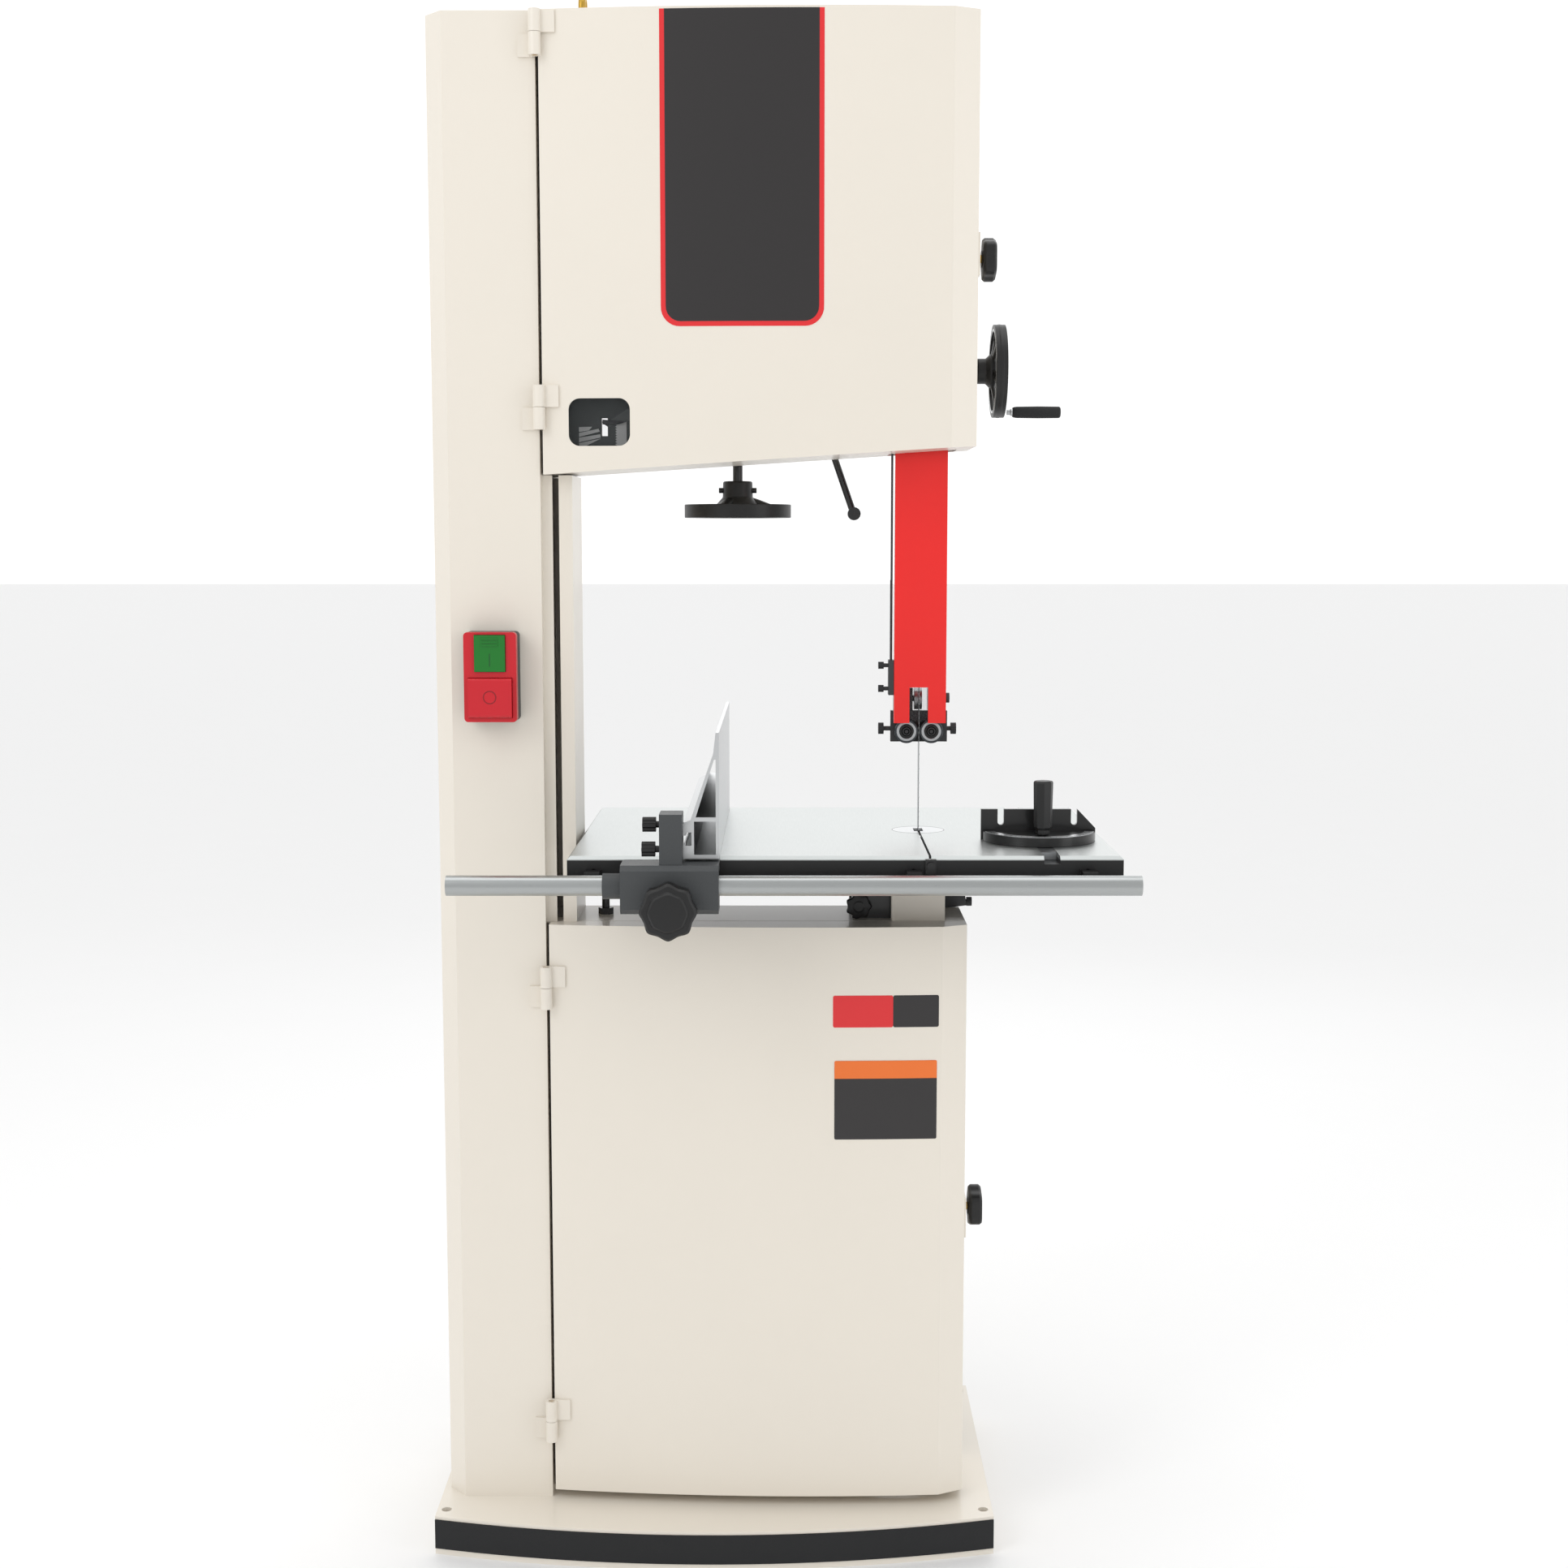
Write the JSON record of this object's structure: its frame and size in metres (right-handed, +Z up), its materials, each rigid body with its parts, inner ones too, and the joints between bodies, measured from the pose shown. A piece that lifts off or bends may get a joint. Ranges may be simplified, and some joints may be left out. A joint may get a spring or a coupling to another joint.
{
  "type": "band saw",
  "caption": "Floor-standing steel-frame band saw: two-wheel frame with hinged doors, tilting table, round-rail fence, mitre gauge and crank-raised blade guard.",
  "frame": {"origin": "centre of the four floor-bolt holes, on the floor plane", "axes": "+Z up; the front of the machine, with its doors, faces -Y; +X to the right, towards the blade"},
  "size_m": [0.872, 0.626, 1.9705],
  "materials": {
    "cream_paint": "powder coat, satin gloss",
    "black_rubber": "matte",
    "zinc_plate": "yellow zinc plated",
    "clear_window": "smoked clear polycarbonate",
    "black_plastic": "moulded",
    "cast_wheel": "painted rim, machined face",
    "tyre_rubber": "matte",
    "machined_steel": "turned",
    "belt_rubber": "matte",
    "motor_grey": "gloss enamel on cast ribs",
    "dark_casting": "textured enamel",
    "blade_steel": "ground band",
    "guard_red": "gloss paint",
    "black_enamel": "gloss paint",
    "table_iron": "ground flat",
    "insert_aluminium": "machined",
    "rail_aluminium": "bright tube",
    "fence_aluminium": "anodised extrusion",
    "scale_dark": "printed plate",
    "switch_grey": "moulded",
    "switch_red": "moulded",
    "switch_green": "moulded"
  },
  "bodies": {
    "frame": {"base_plinth": "cream_paint", "base_front_strip": "black_rubber", "column": "cream_paint", "blade_channel": "cream_paint", "upper_wheel_housing": "cream_paint", "lower_wheel_housing": "cream_paint", "plated_hardware": "zinc_plate", "lower_bearing_housing": "dark_casting", "drive_belt": "belt_rubber", "motor_mount": "cream_paint", "motor": "motor_grey", "dust_port": "black_plastic", "saw_blade": "blade_steel", "tension_frame": "cream_paint", "tension_scale_plate": "scale_dark", "post_guide": "dark_casting", "lower_guides": "dark_casting", "trunnion_brackets": "black_enamel", "switch_box": "switch_grey", "switch_cover": "switch_red"},
    "upper_door": {"upper_door": "cream_paint", "upper_door_window": "clear_window"},
    "lower_door": {"lower_door": "cream_paint"},
    "upper_door_knob": {"upper_door_knob": "black_plastic"},
    "lower_door_knob": {"lower_door_knob": "black_plastic"},
    "wheel_carriage": {"wheel_carriage": "dark_casting", "tension_spring": "machined_steel"},
    "upper_wheel": {"upper_wheel": "cast_wheel", "upper_tyre": "tyre_rubber"},
    "lower_wheel": {"lower_wheel": "cast_wheel", "lower_tyre": "tyre_rubber", "lower_shaft": "machined_steel"},
    "motor_pulley": {"motor_pulley": "machined_steel"},
    "tension_handwheel": {"tension_screw": "machined_steel", "tension_handwheel": "black_plastic"},
    "tracking_knob": {"tracking_knob": "black_plastic"},
    "release_lever": {"release_lever": "black_enamel"},
    "guide_post": {"guide_post": "machined_steel", "blade_guard": "guard_red", "guide_head": "machined_steel"},
    "post_handwheel": {"post_pinion_shaft": "machined_steel", "post_handwheel": "black_plastic"},
    "crank_grip": {"crank_grip": "black_plastic"},
    "upper_left_bearing": {"upper_left_bearing": "machined_steel"},
    "upper_right_bearing": {"upper_right_bearing": "machined_steel"},
    "upper_thrust_bearing": {"upper_thrust_bearing": "machined_steel"},
    "table": {"table": "table_iron", "table_insert": "insert_aluminium", "table_trunnions": "black_enamel", "rail": "rail_aluminium"},
    "tilt_knob": {"tilt_knob": "black_plastic"},
    "fence": {"fence_head": "dark_casting", "fence_extrusion": "fence_aluminium", "fence_thumb_knobs": "black_plastic"},
    "fence_lock_knob": {"fence_lock_knob": "black_plastic"},
    "mitre_bar": {"mitre_bar": "machined_steel"},
    "mitre_head": {"mitre_head": "black_enamel"},
    "mitre_handle": {"mitre_handle": "black_plastic"},
    "start_button": {"start_button": "switch_green"},
    "stop_paddle": {"stop_paddle": "switch_red"}
  },
  "joints": [
    {"name": "upper_door_hinge", "type": "hinge", "parent": "frame", "child": "upper_door", "pos_m": [-0.212, -0.169, 1.65], "axis": [0, 0, 1], "range_deg": [-115, 0]},
    {"name": "lower_door_hinge", "type": "hinge", "parent": "frame", "child": "lower_door", "pos_m": [-0.212, -0.169, 0.43], "axis": [0, 0, 1], "range_deg": [-115, 0]},
    {"name": "upper_door_knob_turn", "type": "hinge", "parent": "frame", "child": "upper_door_knob", "pos_m": [0.344, -0.108, 1.641], "axis": [1, 0, 0], "range_deg": [0, 720]},
    {"name": "lower_door_knob_turn", "type": "hinge", "parent": "frame", "child": "lower_door_knob", "pos_m": [0.338, -0.108, 0.426], "axis": [1, 0, 0], "range_deg": [0, 720]},
    {"name": "tension_handwheel_turn", "type": "hinge", "parent": "frame", "child": "tension_handwheel", "pos_m": [0.028, 0.027, 1.34], "axis": [0, 0, 1], "range_deg": [-2165, 2]},
    {"name": "wheel_carriage_slide", "type": "slide", "parent": "frame", "child": "wheel_carriage", "axis": [0, 0, 1], "range_m": [-0.012, 0]},
    {"name": "upper_wheel_spin", "type": "hinge", "parent": "wheel_carriage", "child": "upper_wheel", "pos_m": [0.033, -0.048, 1.662], "axis": [0, 1, 0], "continuous": true},
    {"name": "lower_wheel_spin", "type": "hinge", "parent": "frame", "child": "lower_wheel", "pos_m": [0.033, -0.048, 0.445], "axis": [0, 1, 0], "continuous": true},
    {"name": "motor_pulley_spin", "type": "hinge", "parent": "frame", "child": "motor_pulley", "pos_m": [0.033, 0.025, 0.19], "axis": [0, 1, 0], "continuous": true},
    {"name": "tracking_knob_turn", "type": "hinge", "parent": "wheel_carriage", "child": "tracking_knob", "pos_m": [0.033, 0.072, 1.69], "axis": [0, 1, 0], "range_deg": [-360, 360]},
    {"name": "release_lever_turn", "type": "hinge", "parent": "frame", "child": "release_lever", "pos_m": [0.147, 0.012, 1.425], "axis": [0, -1, 0], "range_deg": [0, 100]},
    {"name": "post_handwheel_turn", "type": "hinge", "parent": "frame", "child": "post_handwheel", "pos_m": [0.355, -0.062, 1.5066], "axis": [1, 0, 0], "range_deg": [-502, 1252]},
    {"name": "guide_post_slide", "type": "slide", "parent": "frame", "child": "guide_post", "axis": [0, 0, 1], "range_m": [-0.1047, 0.2618]},
    {"name": "crank_grip_spin", "type": "hinge", "parent": "post_handwheel", "child": "crank_grip", "pos_m": [0.41, -0.062, 1.455], "axis": [1, 0, 0], "continuous": true},
    {"name": "upper_left_bearing_spin", "type": "hinge", "parent": "guide_post", "child": "upper_left_bearing", "pos_m": [0.2488, -0.048, 1.045], "axis": [0, 1, 0], "continuous": true},
    {"name": "upper_right_bearing_spin", "type": "hinge", "parent": "guide_post", "child": "upper_right_bearing", "pos_m": [0.2812, -0.048, 1.045], "axis": [0, 1, 0], "continuous": true},
    {"name": "upper_thrust_bearing_spin", "type": "hinge", "parent": "guide_post", "child": "upper_thrust_bearing", "pos_m": [0.265, -0.0236, 1.086], "axis": [1, 0, 0], "continuous": true},
    {"name": "table_tilt", "type": "hinge", "parent": "frame", "child": "table", "pos_m": [0.265, -0.048, 0.915], "axis": [0, 1, 0], "range_deg": [0, 45]},
    {"name": "tilt_knob_turn", "type": "hinge", "parent": "frame", "child": "tilt_knob", "pos_m": [0.185, -0.124, 0.826], "axis": [0, 1, 0], "range_deg": [0, 360]},
    {"name": "fence_slide", "type": "slide", "parent": "table", "child": "fence", "axis": [-1, 0, 0], "range_m": [-0.195, 0.12]},
    {"name": "fence_lock_knob_turn", "type": "hinge", "parent": "fence", "child": "fence_lock_knob", "pos_m": [-0.046, -0.368, 0.862], "axis": [0, 1, 0], "range_deg": [0, 360]},
    {"name": "mitre_slide", "type": "slide", "parent": "table", "child": "mitre_bar", "axis": [0, 1, 0], "range_m": [-0.06, 0.25]},
    {"name": "mitre_head_swing", "type": "hinge", "parent": "mitre_bar", "child": "mitre_head", "pos_m": [0.412, -0.143, 0.92], "axis": [0, 0, 1], "range_deg": [-60, 60]},
    {"name": "mitre_handle_turn", "type": "hinge", "parent": "mitre_head", "child": "mitre_handle", "pos_m": [0.412, -0.188, 0.95], "axis": [0, 0, 1], "range_deg": [0, 360]},
    {"name": "start_button_press", "type": "slide", "parent": "frame", "child": "start_button", "axis": [0, 1, 0], "range_m": [0, 0.004], "stiffness_N_per_m": 500},
    {"name": "stop_paddle_press", "type": "slide", "parent": "frame", "child": "stop_paddle", "axis": [0, 1, 0], "range_m": [0, 0.004], "stiffness_N_per_m": 500}
  ],
  "couplings": [
    {"joint": "tension_handwheel_turn", "follows": "wheel_carriage_slide", "rad_per_m": 3141.6},
    {"joint": "post_handwheel_turn", "follows": "guide_post_slide", "rad_per_m": 83.333},
    {"joint": "upper_wheel_spin", "follows": "lower_wheel_spin", "ratio": 1},
    {"joint": "motor_pulley_spin", "follows": "lower_wheel_spin", "ratio": 2.75}
  ]
}
